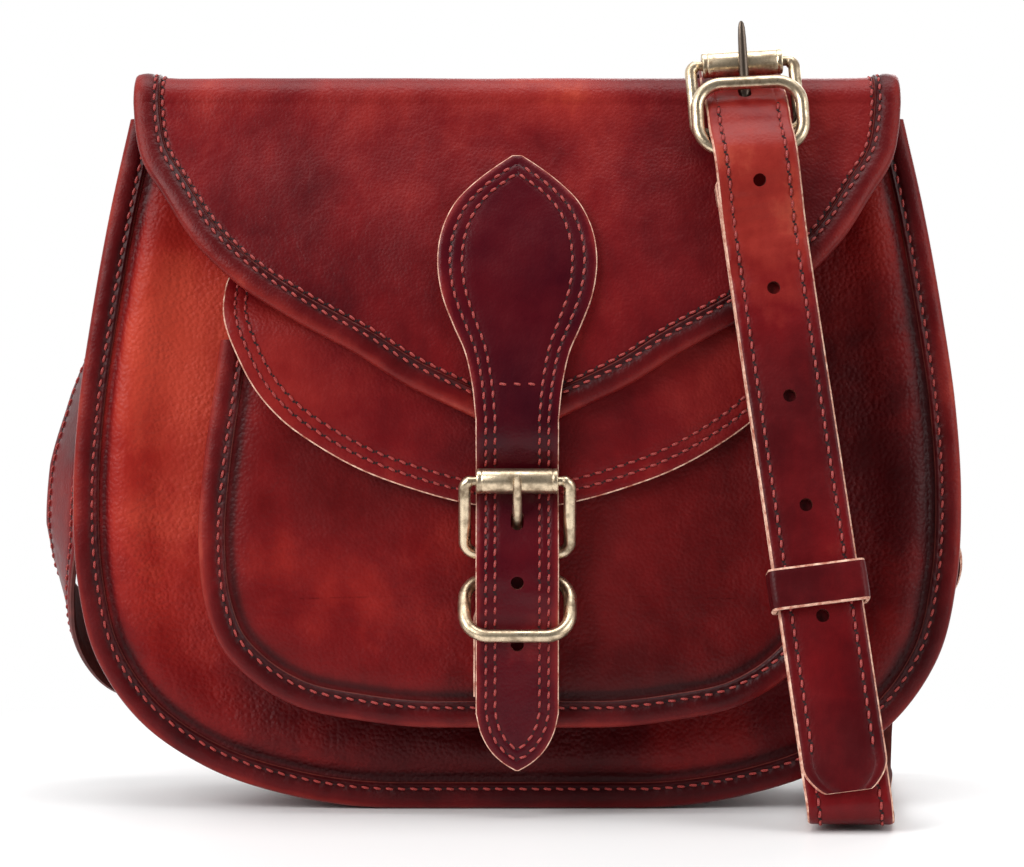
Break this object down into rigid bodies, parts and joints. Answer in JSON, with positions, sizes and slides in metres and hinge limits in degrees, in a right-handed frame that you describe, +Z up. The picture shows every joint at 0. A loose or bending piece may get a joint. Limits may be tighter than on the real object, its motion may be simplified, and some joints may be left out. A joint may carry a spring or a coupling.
{
  "type": "crossbody satchel",
  "caption": "Saddle-shaped leather crossbody bag with a wide flap on a buckled strap, a flapped front pocket and a buckled shoulder strap wrapped round it.",
  "frame": {"origin": "middle of the flat underside of the front rim, on the floor", "axes": "+Z up; the front with its flap and pocket faces -Y; +X to the right seen from the front"},
  "size_m": [0.309, 0.1666, 0.2457],
  "materials": {
    "red leather": "waxed goat leather, mottled",
    "dark binding": "waxed leather",
    "raw leather back": "raw suede",
    "cotton lining": "plain weave",
    "zip tape": "woven tape with coil",
    "antique brass": "aged, satin"
  },
  "bodies": {
    "bag": {"front_panel": "red leather", "back_panel": "red leather", "gusset": "red leather", "front_binding": "dark binding", "back_binding": "dark binding", "lining": "cotton lining", "inner_pocket": "cotton lining", "inner_zip": "zip tape", "pocket_front": "red leather", "pocket_gusset": "red leather", "pocket_binding": "dark binding", "chape": "red leather", "left_ring_tab": "red leather", "right_ring_tab": "red leather", "left_ring": "antique brass", "right_ring": "antique brass", "long_strap_rear": "red leather", "short_strap_rear": "red leather"},
    "flap": {"flap_panel": "red leather", "flap_lining": "raw leather back", "flap_binding": "dark binding", "closure_strap": "red leather", "closure_backing": "raw leather back", "long_strap_front": "red leather"},
    "pocket_flap": {"pocket_flap_panel": "red leather", "pocket_flap_lining": "raw leather back"},
    "closure_buckle": {"closure_frame": "antique brass"},
    "closure_buckle_roller": {"closure_roller": "antique brass"},
    "closure_buckle_prong": {"closure_prong": "antique brass"},
    "closure_loose_ring": {"closure_ring": "antique brass"},
    "short_strap": {"short_strap_front": "red leather"},
    "shoulder_buckle": {"shoulder_frame": "antique brass"},
    "shoulder_buckle_roller": {"shoulder_roller": "antique brass"},
    "shoulder_buckle_prong": {"shoulder_prong": "antique brass"},
    "shoulder_loose_ring": {"shoulder_ring": "antique brass"},
    "keeper": {"strap_keeper": "red leather"},
    "zip_pull": {"zip_slider": "antique brass"}
  },
  "joints": [
    {"name": "flap_open", "type": "hinge", "parent": "bag", "child": "flap", "pos_m": [0, 0.08325, 0.2143], "axis": [-1, 0, 0], "range_deg": [0, 150], "deforming": ["closure_strap", "closure_backing", "long_strap_front"]},
    {"name": "strap_drop", "type": "hinge", "parent": "bag", "child": "short_strap", "pos_m": [0.098, -0.06393, 0.00974], "axis": [0.9918, 0.0255, 0.1254], "range_deg": [0, 90]},
    {"name": "pocket_flap_open", "type": "hinge", "parent": "bag", "child": "pocket_flap", "pos_m": [0, -0.00325, 0.173], "axis": [-1, 0, 0], "range_deg": [0, 75], "deforming": ["pocket_flap_panel", "pocket_flap_lining"]},
    {"name": "closure_frame_pivot", "type": "hinge", "parent": "bag", "child": "closure_buckle", "pos_m": [0, -0.02625, 0.0815], "axis": [1, 0, 0], "range_deg": [0, 60]},
    {"name": "closure_roller_spin", "type": "hinge", "parent": "closure_buckle", "child": "closure_buckle_roller", "pos_m": [0, -0.032, 0.10356], "axis": [1, 0, 0], "continuous": true},
    {"name": "closure_prong_pivot", "type": "hinge", "parent": "closure_buckle", "child": "closure_buckle_prong", "pos_m": [0, -0.02625, 0.0815], "axis": [1, 0, 0], "range_deg": [0, 50]},
    {"name": "closure_ring_hang", "type": "hinge", "parent": "bag", "child": "closure_loose_ring", "pos_m": [0, -0.0226, 0.0735], "axis": [-1, 0, 0], "range_deg": [0, 20]},
    {"name": "shoulder_frame_pivot", "type": "hinge", "parent": "short_strap", "child": "shoulder_buckle", "pos_m": [0.07141, -0.02019, 0.2112], "axis": [0.9977, 0.0185, 0.0645], "range_deg": [0, 60]},
    {"name": "shoulder_roller_spin", "type": "hinge", "parent": "shoulder_buckle", "child": "shoulder_buckle_roller", "pos_m": [0.06988, -0.01392, 0.23307], "axis": [0.9977, 0.0185, 0.0645], "continuous": true},
    {"name": "shoulder_prong_pivot", "type": "hinge", "parent": "shoulder_buckle", "child": "shoulder_buckle_prong", "pos_m": [0.07141, -0.02019, 0.2112], "axis": [0.9977, 0.0185, 0.0645], "range_deg": [0, 60]},
    {"name": "shoulder_ring_slide", "type": "slide", "parent": "short_strap", "child": "shoulder_loose_ring", "axis": [0.1235, -0.3231, -0.9383], "range_m": [0, 0.06]},
    {"name": "keeper_slide", "type": "slide", "parent": "short_strap", "child": "keeper", "axis": [-0.1279, 0.1977, 0.9719], "range_m": [-0.03, 0.03]},
    {"name": "zip_slide", "type": "slide", "parent": "bag", "child": "zip_pull", "axis": [-1, 0, 0], "range_m": [0, 0.13]}
  ],
  "couplings": [
    {"joint": "strap_drop", "follows": "flap_open", "ratio": 0.6},
    {"joint": "pocket_flap_open", "follows": "flap_open", "ratio": 0.5},
    {"joint": "shoulder_frame_pivot", "follows": "shoulder_ring_slide", "rad_per_m": 17.436},
    {"joint": "shoulder_prong_pivot", "follows": "shoulder_ring_slide", "rad_per_m": 17.436}
  ]
}
